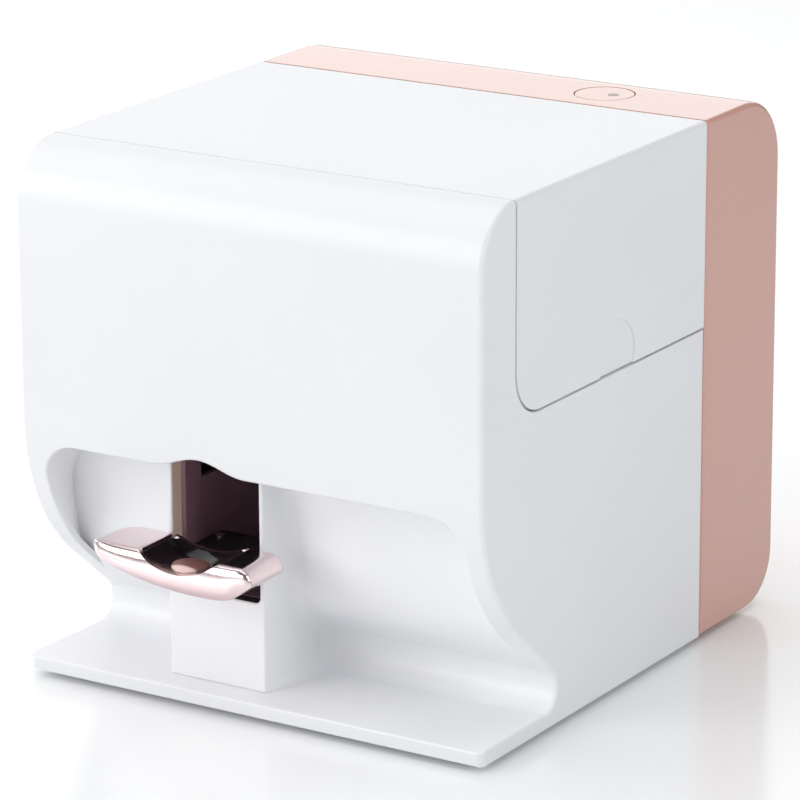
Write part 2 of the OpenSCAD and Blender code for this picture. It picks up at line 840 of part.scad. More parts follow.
module chassis() {
    color([0.72, 0.74, 0.76]) place() {
        difference() {
            box([-plate_half, pan_y0, base_top], [plate_half, pan_y1, base_top + plate_t]);
            at_base_screws() rod_z(0, base_t + 4, 0, 0, base_screw_r);
        }
        both_sides() side_plate();
        // shelf and upright for the depth motor
        box([-plate_half + eps, shaft_y - motor_half_y, motor_z - motor_shelf],
            [motor_x0, pan_y1, motor_z - motor_shelf + plate_t]);
        difference() {
            box([motor_x0 - plate_t, shaft_y - motor_half_y, motor_z - motor_shelf],
                [motor_x0, pan_y1, motor_z + motor_half_y]);
            rod_x(motor_x0 - 2 * plate_t, motor_x0 + plate_t, shaft_y, motor_z, boss_r);
        }
    }
}

module depth_rods() {
    color([0.8, 0.81, 0.83]) place() both_sides()
        rod_y(rod_y0, pan_y1, rod_dx, rod_z, depth_rod_d / 2);
}

module idler_pins() {
    color([0.7, 0.7, 0.72]) place() both_sides()
        rod_x(belt_x - belt_w / 2 - 1, plate_half, idler_y, shaft_z, pin_r);
}

module depth_motor() {
    color([0.35, 0.35, 0.37]) place() difference() {
        union() {
            rod_x(motor_x0, motor_x1, shaft_y, motor_z, motor_r);
            rod_x(motor_x0 - plate_t, motor_x0 + eps, shaft_y, motor_z, boss_r);
        }
        rod_x(motor_x0 - 2 * plate_t, motor_x0 + boss_bore, shaft_y, motor_z,
            spindle_r + running_gap);
    }
}

// Loop of belt round two pulleys in the plane across axis X, between two (Y, Z) centres
module belt_x_loop(x, a, b) {
    d = b - a;
    length = norm(d);
    translate([x, a[0], a[1]]) rotate([atan2(d[1], d[0]), 0, 0]) along_x(belt_w) difference() {
        belt_outline(length, pulley_r + belt_t / 2);
        belt_outline(length, pulley_r - belt_t / 2);
    }
}

module belt_outline(length, r) {
    circle(r);
    translate([length, 0]) circle(r);
    translate([0, -r]) square([length, 2 * r]);
}

module depth_belts() {
    color([0.13, 0.13, 0.14]) place() both_sides()
        belt_x_loop(belt_x, [idler_y, shaft_z], [shaft_y, shaft_z]);
}

module motor_belt() {
    color([0.13, 0.13, 0.14]) place()
        belt_x_loop(motor_belt_x, [shaft_y, motor_z], [shaft_y, shaft_z]);
}

// Pulley body inside a belt, along X about the origin
belt_slip = 0.02;
rim_t = 0.8;
rim_rise = 0.3;
module pulley(bore) {
    r = pulley_r - belt_t / 2 - belt_slip;
    difference() {
        union() {
            rod_x(-belt_w / 2, belt_w / 2, 0, 0, r);
            for (x = [-belt_w / 2 - rim_t, belt_w / 2]) rod_x(x, x + rim_t, 0, 0, r + rim_rise);
        }
        if (bore > 0) rod_x(-belt_w, belt_w, 0, 0, bore);
    }
}

module depth_shaft() {
    color([0.78, 0.78, 0.8]) place() translate([0, shaft_y, shaft_z]) {
        rod_x(-plate_half, plate_half, 0, 0, shaft_r);
        for (x = [-belt_x, motor_belt_x, belt_x]) translate([x, 0, 0]) pulley(0);
    }
}

module depth_idlers() {
    color([0.85, 0.85, 0.86]) place() for (side = [-1, 1])
        translate([side * belt_x, idler_y, shaft_z]) pulley(pin_r + running_gap);
}

module motor_pulley() {
    color([0.85, 0.85, 0.86]) place() translate([motor_belt_x, shaft_y, motor_z]) {
        pulley(0);
        rod_x(0, motor_x0 + boss_bore - 1 - motor_belt_x, 0, 0, spindle_r);
    }
}

// Gantry: a beam across the depth rods with two end plates that hold the cross rods
beam_t = 3;
bush_t = 2;
bush_half = 12;
end_t = 5;
end_gap = 2;
end_x1 = rod_dx - end_gap;
end_x0 = end_x1 - end_t;
end_reach = 11;
block_rise = 4;
block_out = 0.6;
gantry_y = shaft_y - gantry_gap;
beam_drop = 8.5;
beam_rise = 41.5;
beam_z0 = rod_z - beam_drop;
beam_z1 = rod_z + beam_rise;
cross_dy = 13;
cross_y = gantry_y - cross_dy;
cross_rise = 9.5;
cross_pitch = 15;
cross_z0 = rod_z + cross_rise;
cross_z1 = cross_z0 + cross_pitch;
cross_belt_dy = 5;
cross_belt_y = gantry_y - cross_belt_dy;
cross_belt_rise = 14.5;
cross_belt_z = rod_z + cross_belt_rise;
cross_belt_inset = 11;
cross_belt_dx = end_x0 - cross_belt_inset;
clamp_gap = 0.15;
clamp_t = 3;
depth_clamp_half = 6;
cross_clamp_half = 3;
cross_motor_r = 10;
cross_motor_t = 12;

module gantry_side() {
    bush_r = depth_rod_d / 2 + bush_t;
    block_x1 = rod_dx + bush_r + block_out;
    strand_z = shaft_z - pulley_r;
    difference() {
        union() {
            box([end_x0, cross_y - end_reach, beam_z0],
                [end_x1, gantry_y + beam_t, beam_z1]);
            box([end_x0, gantry_y - bush_half, rod_z - bush_r - bush_t],
                [block_x1, gantry_y + bush_half, strand_z + block_rise]);
            // clamp on the lower run of the depth belt
            for (up = [-1, 1]) {
                z = strand_z + up * (belt_t / 2 + clamp_gap + clamp_t / 2);
                box([block_x1 - 1, gantry_y - depth_clamp_half, z - clamp_t / 2],
                    [belt_x + belt_w / 2, gantry_y + depth_clamp_half, z + clamp_t / 2]);
            }
        }
        rod_y(gantry_y - big, gantry_y + big, rod_dx, rod_z, bush_r);
        for (z = [cross_z0, cross_z1]) rod_x(end_x0 - 1, end_x1 + 1, cross_y, z, cross_rod_d / 2);
    }
}

module gantry_beam() {
    color([0.62, 0.64, 0.67]) place() {
        difference() {
            box([-end_x0 - eps, gantry_y, beam_z0], [end_x0 + eps, gantry_y + beam_t, beam_z1]);
            rod_y(gantry_y - 1, gantry_y + beam_t + 1, -cross_belt_dx, cross_belt_z, boss_r);
        }
        both_sides() gantry_side();
        // stub axle of the idler pulley
        rod_y(cross_belt_y - belt_w / 2 - 1, gantry_y + eps, cross_belt_dx, cross_belt_z, pin_r);
    }
}

module gantry_bushes() {
    color([0.72, 0.55, 0.3]) place() both_sides() difference() {
        rod_y(gantry_y - bush_half, gantry_y + bush_half, rod_dx, rod_z,
            depth_rod_d / 2 + bush_t);
        rod_y(gantry_y - big, gantry_y + big, rod_dx, rod_z, depth_rod_d / 2 + running_gap);
    }
}

module cross_rods() {
    color([0.8, 0.81, 0.83]) place() for (z = [cross_z0, cross_z1])
        rod_x(-end_x1, end_x1, cross_y, z, cross_rod_d / 2);
}

module cross_motor() {
    y = gantry_y + beam_t;
    color([0.35, 0.35, 0.37]) place() difference() {
        union() {
            rod_y(y, y + cross_motor_t, -cross_belt_dx, cross_belt_z, cross_motor_r);
            rod_y(gantry_y, y + eps, -cross_belt_dx, cross_belt_z, boss_r);
        }
        rod_y(gantry_y - 1, y + boss_bore, -cross_belt_dx, cross_belt_z,
            spindle_r + running_gap);
    }
}

module cross_belt() {
    color([0.13, 0.13, 0.14]) place()
        along_y(cross_belt_y - belt_w / 2, cross_belt_y + belt_w / 2)
        translate([-cross_belt_dx, cross_belt_z]) difference() {
            belt_outline(2 * cross_belt_dx, pulley_r + belt_t / 2);
            belt_outline(2 * cross_belt_dx, pulley_r - belt_t / 2);
        }
}

module cross_pulley(x, bore) {
    color([0.85, 0.85, 0.86]) place() translate([x, cross_belt_y, cross_belt_z])
        rotate([0, 0, 90]) pulley(bore);
}

module drive_pulley() {
    cross_pulley(-cross_belt_dx, 0);
    color([0.85, 0.85, 0.86]) place() rod_y(cross_belt_y, gantry_y + beam_t + boss_bore - 1,
        -cross_belt_dx, cross_belt_z, spindle_r);
}

module idler_pulley() {
    cross_pulley(cross_belt_dx, pin_r + running_gap);
}

// Carriage: a bearing block on the cross rods, with the cartridge's basket in front
block_half = 20;
block_half_y = 5;
block_rim = 6;
park_gap = 1;
park_x = end_x0 - block_half - park_gap;
block_y0 = cross_y - block_half_y;
block_y1 = cross_y + block_half_y;
block_z0 = cross_z0 - block_rim;
block_z1 = cross_z1 + block_rim;
basket_t = 2;
basket_gap = 0.4;
basket_z0 = 87;
basket_lap = 8;
basket_z1 = block_z0 + basket_lap;
nozzle_gap = 1;
cartridge_y1 = block_y0 - basket_gap;
cartridge_y0 = cartridge_y1 - cartridge_d;
cartridge_z0 = basket_z0 + basket_t + nozzle_gap;
nozzle_y = (cartridge_y0 + cartridge_y1) / 2;
nozzle_half = 9;
nozzle_drop = 4;
nozzle_z = cartridge_z0 - nozzle_drop;
carriage_bush_t = 1.5;
latch_y = cross_y;
latch_rise = 5;
latch_z = cartridge_z0 + cartridge_h + latch_rise;
latch_pin_r = 1.5;
latch_hub_r = 3;
latch_half = 14;
latch_gap = 0.4;
latch_inset = 2;
latch_t = 2.6;
ear_r = 3.6;
ear_t = 4;
ear_gap = 0.3;

module carriage() {
    basket_half = cartridge_w / 2 + basket_gap + basket_t;
    y0 = cartridge_y0 - basket_gap - basket_t;
    ear_x0 = latch_half + ear_gap;
    color([0.9, 0.9, 0.92]) place() translate([park_x, 0, 0]) difference() {
        union() {
            box([-block_half, block_y0, block_z0], [block_half, block_y1, block_z1]);
            box([-basket_half, y0, basket_z0], [basket_half, block_y0 + eps, basket_z1]);
            both_sides() {
                box([ear_x0, block_y0, block_z1 - eps], [ear_x0 + ear_t, block_y1, latch_z]);
                rod_x(ear_x0, ear_x0 + ear_t, latch_y, latch_z, ear_r);
            }
            // clamp on the upper run of the cross belt
            for (up = [-1, 1]) {
                z = cross_belt_z + pulley_r + up * (belt_t / 2 + clamp_gap + clamp_t / 2);
                box([-cross_clamp_half, block_y1 - eps, z - clamp_t / 2],
                    [cross_clamp_half, cross_belt_y + belt_w / 2, z + clamp_t / 2]);
            }
        }
        // pocket for the cartridge, open at the top, and the nozzle's window
        box([-basket_half + basket_t, y0 + basket_t, basket_z0 + basket_t],
            [basket_half - basket_t, block_y0, basket_z1 + big]);
        box([-nozzle_half - basket_gap, nozzle_y - nozzle_half - basket_gap, 0],
            [nozzle_half + basket_gap, nozzle_y + nozzle_half + basket_gap, basket_z1]);
        for (z = [cross_z0, cross_z1])
            rod_x(-big, big, cross_y, z, cross_rod_d / 2 + carriage_bush_t);
        rod_x(-big, big, latch_y, latch_z, latch_pin_r);
    }
}

module carriage_bushes() {
    color([0.72, 0.55, 0.3]) place() for (z = [cross_z0, cross_z1]) difference() {
        rod_x(park_x - block_half, park_x + block_half, cross_y, z,
            cross_rod_d / 2 + carriage_bush_t);
        rod_x(park_x - big, park_x + big, cross_y, z, cross_rod_d / 2 + running_gap);
    }
}

module ink_cartridge() {
    color([0.16, 0.16, 0.18]) place()
        box([park_x - cartridge_w / 2, cartridge_y0, cartridge_z0],
            [park_x + cartridge_w / 2, cartridge_y1, cartridge_z0 + cartridge_h]);
}

module nozzle_plate() {
    color([0.78, 0.7, 0.45]) place()
        box([park_x - nozzle_half, nozzle_y - nozzle_half, nozzle_z],
            [park_x + nozzle_half, nozzle_y + nozzle_half, cartridge_z0]);
}

module latch_pin() {
    x = latch_half + ear_gap + ear_t;
    color([0.75, 0.75, 0.77]) place() rod_x(park_x - x, park_x + x, latch_y, latch_z, latch_pin_r);
}

module cartridge_latch() {
    z0 = cartridge_z0 + cartridge_h + latch_gap;
    color([0.45, 0.7, 0.75]) place() difference() {
        union() {
            box([park_x - latch_half, cartridge_y0 + latch_inset, z0],
                [park_x + latch_half, latch_y, z0 + latch_t]);
            rod_x(park_x - latch_half, park_x + latch_half, latch_y, latch_z, latch_hub_r);
        }
        rod_x(-big, big, latch_y, latch_z, latch_pin_r + running_gap);
    }
}

// Cap and wiper under the parked nozzle
cap_z = nozzle_z - 0.6;
base_z1 = 78;
base_half = 17;
cap_half_x = 12;
cap_half_y = 11;
cap_t = 2;
wiper_t = 1.5;
wiper_dx = 16;
module maintenance_base() {
    color([0.55, 0.56, 0.58]) place()
        box([park_x - base_half - 1, pan_y0, base_top + plate_t],
            [park_x + base_half, nozzle_y + base_half, base_z1]);
}

module cap_seal() {
    color([0.15, 0.15, 0.15]) place() difference() {
        box([park_x - cap_half_x, nozzle_y - cap_half_y, base_z1],
            [park_x + cap_half_x, nozzle_y + cap_half_y, cap_z]);
        box([park_x - cap_half_x + cap_t, nozzle_y - cap_half_y + cap_t, base_z1 + cap_t],
            [park_x + cap_half_x - cap_t, nozzle_y + cap_half_y - cap_t, cap_z + 1]);
    }
}

module wiper_blade() {
    color([0.3, 0.3, 0.3]) place()
        box([park_x - wiper_dx - wiper_t / 2, nozzle_y - cap_half_y, base_z1],
            [park_x - wiper_dx + wiper_t / 2, nozzle_y + cap_half_y, cap_z]);
}

// Camera that finds the nail, on an arm under the cover, with a ring of lamps
camera_y = 58;
camera_half = 8;
camera_lens_r = 5;
camera_lens_h = 6;
arm_gap = 12.4;
camera_h = 12;
arm_t = 3;
arm_z0 = roof_z - arm_gap - arm_t;
camera_z0 = arm_z0 - camera_h;
arm_half = 7;
arm_drop = 14;
ring_r = 15;
lamp_r = 1.6;
lamp_h = 0.8;
lamp_dr = 10.5;
module camera_bracket() {
    y0 = bay_y0 + bay_t;
    color([0.72, 0.74, 0.76]) place() {
        box([finger_x - arm_half, y0, arm_z0],
            [finger_x + arm_half, camera_y + camera_half, arm_z0 + arm_t]);
        box([finger_x - arm_half, y0, arm_z0 - arm_drop],
            [finger_x + arm_half, y0 + arm_t, arm_z0 + arm_t]);
    }
}

module camera_module() {
    color([0.15, 0.15, 0.16]) place() {
        box([finger_x - camera_half, camera_y - camera_half, camera_z0],
            [finger_x + camera_half, camera_y + camera_half, arm_z0]);
        rod_z(camera_z0 - camera_lens_h, camera_z0 + eps, finger_x, camera_y, camera_lens_r);
    }
}

module light_board() {
    color([0.92, 0.92, 0.9]) place() {
        difference() {
            rod_z(camera_z0 - board_t, camera_z0, finger_x, camera_y, ring_r);
            rod_z(camera_z0 - 2 * board_t, camera_z0 + 1, finger_x, camera_y, camera_lens_r);
        }
        for (a = [0:45:315]) rod_z(camera_z0 - board_t - lamp_h, camera_z0 - board_t + eps,
            finger_x + lamp_dr * cos(a), camera_y + lamp_dr * sin(a), lamp_r);
    }
}

front_shell();
recess_panel();
finger_tower();
chamber_liner();
rear_housing();
bulkhead();
bay_frame();
rubber_feet();
base_screws();
chassis();
depth_rods();
idler_pins();
depth_motor();
depth_belts();
motor_belt();
maintenance_base();
cap_seal();
wiper_blade();
camera_bracket();
camera_module();
light_board();
main_board();
board_chips();
board_screws();
power_jack();
switch_board();
tact_switch();
guide_posts();
rest_springs();
cover();
power_button();
status_lens();
rest_cover();
rest_cradle();
rest_pad();
rest_carrier();
gantry_beam();
gantry_bushes();
cross_rods();
cross_motor();
cross_belt();
carriage();
carriage_bushes();
ink_cartridge();
nozzle_plate();
latch_pin();
cartridge_latch();
drive_pulley();
idler_pulley();
depth_shaft();
depth_idlers();
motor_pulley();
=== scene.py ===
import json
import math

import bmesh
import bpy
from mathutils import Matrix, Vector


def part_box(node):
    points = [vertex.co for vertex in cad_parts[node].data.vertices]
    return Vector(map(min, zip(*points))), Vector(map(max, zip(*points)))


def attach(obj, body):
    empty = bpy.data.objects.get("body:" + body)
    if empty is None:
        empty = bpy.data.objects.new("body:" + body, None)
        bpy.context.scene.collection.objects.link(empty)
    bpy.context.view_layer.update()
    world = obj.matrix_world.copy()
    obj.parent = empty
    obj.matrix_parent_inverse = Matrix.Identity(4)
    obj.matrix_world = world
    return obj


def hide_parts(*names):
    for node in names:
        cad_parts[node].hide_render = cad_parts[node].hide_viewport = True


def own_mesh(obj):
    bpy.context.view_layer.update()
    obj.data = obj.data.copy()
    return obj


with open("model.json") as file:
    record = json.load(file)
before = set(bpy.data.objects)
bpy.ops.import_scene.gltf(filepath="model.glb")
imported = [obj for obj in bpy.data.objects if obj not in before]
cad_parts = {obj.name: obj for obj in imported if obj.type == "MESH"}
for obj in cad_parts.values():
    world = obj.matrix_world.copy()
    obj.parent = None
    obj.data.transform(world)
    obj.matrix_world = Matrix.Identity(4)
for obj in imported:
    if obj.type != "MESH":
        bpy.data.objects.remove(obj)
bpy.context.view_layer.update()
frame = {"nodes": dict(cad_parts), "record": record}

# Nail printer: camera, materials, rounded shells, finger rest, springs, floor and light.
# Places and sizes are in millimetres as in the CAD source, unless a comment says metres.
MM = 0.001
MID_Y = 107.0  # the front face lies this far in front of the frame's origin
HALF_W, TOP_Z, BASE_TOP, WALL = 104.0, 214.0, 8.2, 2.6
FINGER_X, OPENING_HALF_W, TOWER_HALF_W = -22.0, 20.0, 22.0
NEAR = 0.1  # places closer than this count as the same
scene = bpy.context.scene


def at(x, y, z):
    """Point in metres of a place across, back from the front face and up from the floor."""
    return Vector((x, y - MID_Y, z)) * MM


def mm_of(point):
    """The place that at() turns into this point."""
    return point.x / MM, point.y / MM + MID_Y, point.z / MM


# ---------------------------------------------------------------- camera
CAMERA_POINT = (0.90807, -1.43849, 0.61665)  # metres
AZIMUTH, ELEVATION, ROLL = math.radians(32.215), math.radians(16.863), math.radians(0.34)
LENS, SENSOR = 202.79, 36.0
NEAREST, FURTHEST = 0.05, 30.0  # metres


def make_camera():
    back = Vector((math.sin(AZIMUTH) * math.cos(ELEVATION),
                   -math.cos(AZIMUTH) * math.cos(ELEVATION), math.sin(ELEVATION)))
    right = Vector((0, 0, 1)).cross(back).normalized()
    up = back.cross(right)
    tilt_right = right * math.cos(ROLL) - up * math.sin(ROLL)
    tilt_up = right * math.sin(ROLL) + up * math.cos(ROLL)
    turn = Matrix((tilt_right, tilt_up, back)).transposed().to_4x4()
    data = bpy.data.cameras.new("camera")
    data.sensor_width = SENSOR
    data.lens = LENS
    data.clip_start, data.clip_end = NEAREST, FURTHEST
    camera = bpy.data.objects.new("camera", data)
    camera.matrix_world = Matrix.Translation(CAMERA_POINT) @ turn
    scene.collection.objects.link(camera)
    scene.camera = camera


make_camera()


# ---------------------------------------------------------------- materials
class Paint:
    """Small helper that wires one Principled material out of procedural nodes."""

    def __init__(self, name, **sockets):
        self.name = name
        self.mat = bpy.data.materials.new(name)
        self.mat.use_nodes = True
        self.tree = self.mat.node_tree
        self.shader = self.tree.nodes["Principled BSDF"]
        for socket, value in sockets.items():
            self.shader.inputs[socket.replace("_", " ")].default_value = value
        self.coords = self.tree.nodes.new("ShaderNodeTexCoord").outputs["Object"]

    def link(self, a, b):
        self.tree.links.new(a, b)

    def stretched(self, scale):
        node = self.tree.nodes.new("ShaderNodeMapping")
        node.inputs["Scale"].default_value = scale
        self.link(self.coords, node.inputs["Vector"])
        return node.outputs["Vector"]

    def noise(self, scale, detail=3.0, rough=0.55, stretch=None):
        node = self.tree.nodes.new("ShaderNodeTexNoise")
        node.inputs["Scale"].default_value = scale
        node.inputs["Detail"].default_value = detail
        node.inputs["Roughness"].default_value = rough
        self.link(self.stretched(stretch) if stretch else self.coords, node.inputs["Vector"])
        return node.outputs["Fac"]

    def bands(self, scale, axis):
        node = self.tree.nodes.new("ShaderNodeTexWave")
        node.bands_direction = axis
        node.inputs["Scale"].default_value = scale
        self.link(self.coords, node.inputs["Vector"])
        return node.outputs["Fac"]

    def cells(self, scale, feature):
        node = self.tree.nodes.new("ShaderNodeTexVoronoi")
        node.feature = feature
        node.inputs["Scale"].default_value = scale
        self.link(self.coords, node.inputs["Vector"])
        return node.outputs["Distance"]

    def past(self, axis, start, end):
        """Mask that grows from 0 to 1 between two places along an axis, counted as at() does."""
        origin = MID_Y if axis == "Y" else 0.0
        split = self.tree.nodes.new("ShaderNodeSeparateXYZ")
        self.link(self.coords, split.inputs["Vector"])
        node = self.tree.nodes.new("ShaderNodeMapRange")
        node.inputs["From Min"].default_value = (start - origin) * MM
        node.inputs["From Max"].default_value = (end - origin) * MM
        self.link(split.outputs[axis], node.inputs["Value"])
        return node.outputs["Result"]

    def tint(self, rgb, *spans):
        """Turns the base colour to another one where every span (axis, start, end) is past."""
        mask = self.past(*spans[0])
        for span in spans[1:]:
            product = self.tree.nodes.new("ShaderNodeMath")
            product.operation = "MULTIPLY"
            self.link(mask, product.inputs[0])
            self.link(self.past(*span), product.inputs[1])
            mask = product.outputs["Value"]
        node = self.tree.nodes.new("ShaderNodeMix")
        node.data_type = "RGBA"
        base = self.shader.inputs["Base Color"]
        self.link(mask, node.inputs["Factor"])
        self.link(base.links[0].from_socket, node.inputs["A"])
        node.inputs["B"].default_value = (*rgb, 1)
        self.link(node.outputs["Result"], base)

    def colour(self, factor, low, high, start=0.35, end=0.65):
        node = self.tree.nodes.new("ShaderNodeValToRGB")
        node.color_ramp.elements[0].position = start
        node.color_ramp.elements[0].color = (*low, 1)
        node.color_ramp.elements[1].position = end
        node.color_ramp.elements[1].color = (*high, 1)
        self.link(factor, node.inputs["Fac"])
        self.link(node.outputs["Color"], self.shader.inputs["Base Color"])

    def roughness(self, factor, low, high):
        node = self.tree.nodes.new("ShaderNodeMapRange")
        node.inputs["To Min"].default_value = low
        node.inputs["To Max"].default_value = high
        self.link(factor, node.inputs["Value"])
        self.link(node.outputs["Result"], self.shader.inputs["Roughness"])

    def bump(self, factor, strength, distance):
        """Adds one more layer of relief, its distance in metres, over the layers so far."""
        node = self.tree.nodes.new("ShaderNodeBump")
        node.inputs["Strength"].default_value = strength
        node.inputs["Distance"].default_value = distance
        self.link(factor, node.inputs["Height"])
        layers = self.shader.inputs["Normal"].links
        if layers:
            self.link(layers[0].from_socket, node.inputs["Normal"])
        self.link(node.outputs["Normal"], self.shader.inputs["Normal"])


def shade(rgb, k):
    return tuple(min(1.0, c * k) for c in rgb)


def moulded(name, rgb, rough=0.42, coat=0.1, grain=0.05, vary=0.012, **sockets):
    """Injection-moulded plastic: slow colour drift, fine spark-eroded grain, soft clear sheen."""
    m = Paint(name, Coat_Weight=coat, Coat_Roughness=0.12, **sockets)
    m.colour(m.noise(9, 2), shade(rgb, 1 - vary), shade(rgb, 1 + vary))
    m.roughness(m.noise(260, 4), rough - 0.04, rough + 0.05)
    m.bump(m.noise(2600, 2, 0.5), grain, 0.00004)
    m.bump(m.noise(14, 1, 0.4), 0.03, 0.0006)
    return m


def metal(name, rgb, rough, stretch=(1, 1, 1), grain=0.15, scale=900, vary=0.06):
    """Bare metal with drawn or ground lines along the axis that stretch leaves long."""
    m = Paint(name, Metallic=1.0)
    m.colour(m.noise(24, 3), shade(rgb, 1 - vary), shade(rgb, 1 + vary))
    m.roughness(m.noise(scale, 3, 0.6, stretch), rough - 0.06, rough + 0.08)
    m.bump(m.noise(scale, 3, 0.6, stretch), grain, 0.00003)
    return m


def rubber(name, rgb, rough=0.62):
    """Dull rubber with a fine pitted skin."""
    m = Paint(name)
    m.colour(m.noise(120, 4), shade(rgb, 0.86), shade(rgb, 1.16))
    m.roughness(m.noise(600, 3), rough - 0.06, rough + 0.1)
    m.bump(m.noise(3200, 3, 0.6), 0.22, 0.00006)
    return m


def ribbed_belt(name):
    """Toothed belt: close cross ribs on dull rubber."""
    m = Paint(name)
    m.colour(m.noise(300, 3), (0.012, 0.012, 0.013), (0.028, 0.027, 0.029))
    m.roughness(m.noise(900, 2), 0.5, 0.68)
    m.bump(m.bands(80, "DIAGONAL"), 0.35, 0.0003)
    m.bump(m.noise(3000, 2), 0.15, 0.00004)
    return m


def board_green(name):
    """Solder mask over copper tracks and planes."""
    m = Paint(name, Coat_Weight=0.5, Coat_Roughness=0.15)
    tracks = m.cells(420, "DISTANCE_TO_EDGE")
    m.colour(tracks, (0.03, 0.16, 0.075), (0.012, 0.085, 0.04), 0.08, 0.2)
    m.roughness(m.noise(500, 2), 0.28, 0.42)
    m.bump(tracks, 0.2, 0.00008)
    return m


def tinted_chrome(name):
    """Rose vacuum plating with a trace of haze and of waviness, and a painted darker reflection
    towards the keel.
    """
    m = Paint(name, Metallic=1.0, Coat_Weight=0.4, Coat_Roughness=0.04)
    m.colour(m.noise(30, 2), (0.90, 0.745, 0.755), (0.95, 0.80, 0.805))
    # painted reflection: the plating turns a darker rose towards the keel, in place of the
    # shadowed base reflected there
    m.tint((0.66, 0.49, 0.51), ("Z", 60.5, 53.0))
    m.roughness(m.noise(120, 1), 0.16, 0.2)
    m.bump(m.noise(45, 1, 0.4), 0.03, 0.0004)
    return m


def lacquer(name, low, high, rough):
    """Glossy coat over a dark moulding."""
    m = Paint(name, Coat_Weight=0.8, Coat_Roughness=0.05)
    m.colour(m.noise(60, 2), low, high)
    m.roughness(m.noise(220, 3), rough, rough + 0.08)
    m.bump(m.noise(40, 1, 0.4), 0.04, 0.0003)
    return m


WHITE = (0.83, 0.84, 0.865)
# painted light: a lighter copy of the white, painted lighter to offset the shade inside the recess
LIT_RECESS_WHITE = (0.9, 0.905, 0.925)
# painted light on the white sides of the finger opening: a warm painted reflection of the maroon
# liner, and near-black painted shade at their foot
JAMB_PAINTED_REFLECTION, JAMB_FOOT_PAINTED_SHADE = (0.95, 0.75, 0.62), (0.05, 0.035, 0.035)
# painted highlight colour for the front slope of the finger pad
PAD_PAINTED_HIGHLIGHT = (0.88, 0.62, 0.6)
# the shell's inside faces low down in front, clear of its outer skin
LOW_INSIDE = (("Z", 7.2, 7.8), ("Z", 52.0, 34.0), ("Y", 57.0, 55.0),
              ("X", -HALF_W + 0.4, -HALF_W + 0.6), ("X", HALF_W - 0.4, HALF_W - 0.6))
# the sides of the finger opening, and the lowest stretch of them
JAMB_LEFT, JAMB_RIGHT = FINGER_X - OPENING_HALF_W, FINGER_X + OPENING_HALF_W
JAMB = (("X", JAMB_LEFT - NEAR, JAMB_LEFT), ("X", JAMB_RIGHT + NEAR, JAMB_RIGHT),
        ("Y", 12.3, 12.4), ("Z", 43.8, 43.9))
JAMB_FOOT = (*JAMB, ("Z", 47.5, 46.5))

white = moulded("white_plastic", WHITE)
# painted light: the shell's inside faces in the recess take the lighter recess white
white.tint(LIT_RECESS_WHITE, *LOW_INSIDE)
lit_recess_white = moulded("lit_recess_white", LIT_RECESS_WHITE)
# painted reflection and painted shade on the sides of the finger opening
lit_recess_white.tint(JAMB_PAINTED_REFLECTION, *JAMB)
lit_recess_white.tint(JAMB_FOOT_PAINTED_SHADE, *JAMB_FOOT)
silicone = moulded("rose_silicone", (0.21, 0.09, 0.08), rough=0.4, grain=0.1, vary=0.05)
# painted highlight: the pad's front slope is painted pale rose in place of the front light's
# reflection
silicone.tint(PAD_PAINTED_HIGHLIGHT, ("Y", -9.2, -10.2))
PAINTS = (
    white,
    silicone,
    moulded("pink_plastic", (0.64, 0.35, 0.285), rough=0.36, coat=1.0, Coat_IOR=1.6),
    moulded("grey_plastic", (0.55, 0.56, 0.58), rough=0.46, coat=0.05, grain=0.14),
    moulded("motor_metal", (0.045, 0.045, 0.05), grain=0.3, vary=0.1),
    moulded("black_plastic", (0.02, 0.02, 0.022), coat=0.05, grain=0.2, vary=0.12),
    moulded("lamp_board", (0.8, 0.8, 0.77), rough=0.35, coat=0.3),
    moulded("carriage_plastic", (0.66, 0.67, 0.7), rough=0.44, coat=0.05, grain=0.14),
    moulded("cartridge_plastic", (0.03, 0.03, 0.036), rough=0.4, grain=0.22, vary=0.1),
    moulded("latch_plastic", (0.12, 0.36, 0.42), rough=0.38, coat=0.15, grain=0.1),
    metal("screw_steel", (0.72, 0.71, 0.68), rough=0.3),
    metal("sheet_steel", (0.62, 0.64, 0.66), rough=0.36, stretch=(1, 14, 14), grain=0.12,
          scale=300),
    metal("rod_steel", (0.78, 0.79, 0.81), rough=0.14, grain=0.04, scale=1500, vary=0.03),
    metal("spring_steel", (0.6, 0.6, 0.62), rough=0.25, stretch=(1, 1, 30), grain=0.8, scale=260),
    metal("bronze", (0.66, 0.44, 0.2), rough=0.42, grain=0.4, scale=1400, vary=0.15),
    metal("pulley_metal", (0.8, 0.81, 0.82), rough=0.22, stretch=(30, 1, 1), grain=0.3, scale=200),
    rubber("foot_rubber", (0.42, 0.43, 0.45)),
    rubber("black_rubber", (0.02, 0.02, 0.021)),
    ribbed_belt("belt_rubber"),
    board_green("circuit_board"),
    tinted_chrome("rose_chrome"),
    lacquer("liner_plastic", (0.3, 0.18, 0.225), (0.34, 0.205, 0.255), rough=0.3),
    lacquer("dark_lens", (0.02, 0.014, 0.016), (0.035, 0.024, 0.027), rough=0.35),
    lacquer("black_gloss", (0.008, 0.006, 0.008), (0.016, 0.011, 0.014), rough=0.06),
)
MATERIALS = {paint.name: paint.mat for paint in PAINTS}
SLOT_OF = {row["node"]: row["material_slot"] for row in frame["record"]["subparts"]}


def dress(obj, mat):
    obj.data.materials.clear()
    obj.data.materials.append(mat)


for node_name, node in frame["nodes"].items():
    dress(node, MATERIALS[SLOT_OF[node_name]])


# ---------------------------------------------------------------- making pieces
def edge_angle(edge):
    return edge.calc_face_angle(0.0) if len(edge.link_faces) == 2 else 0.0


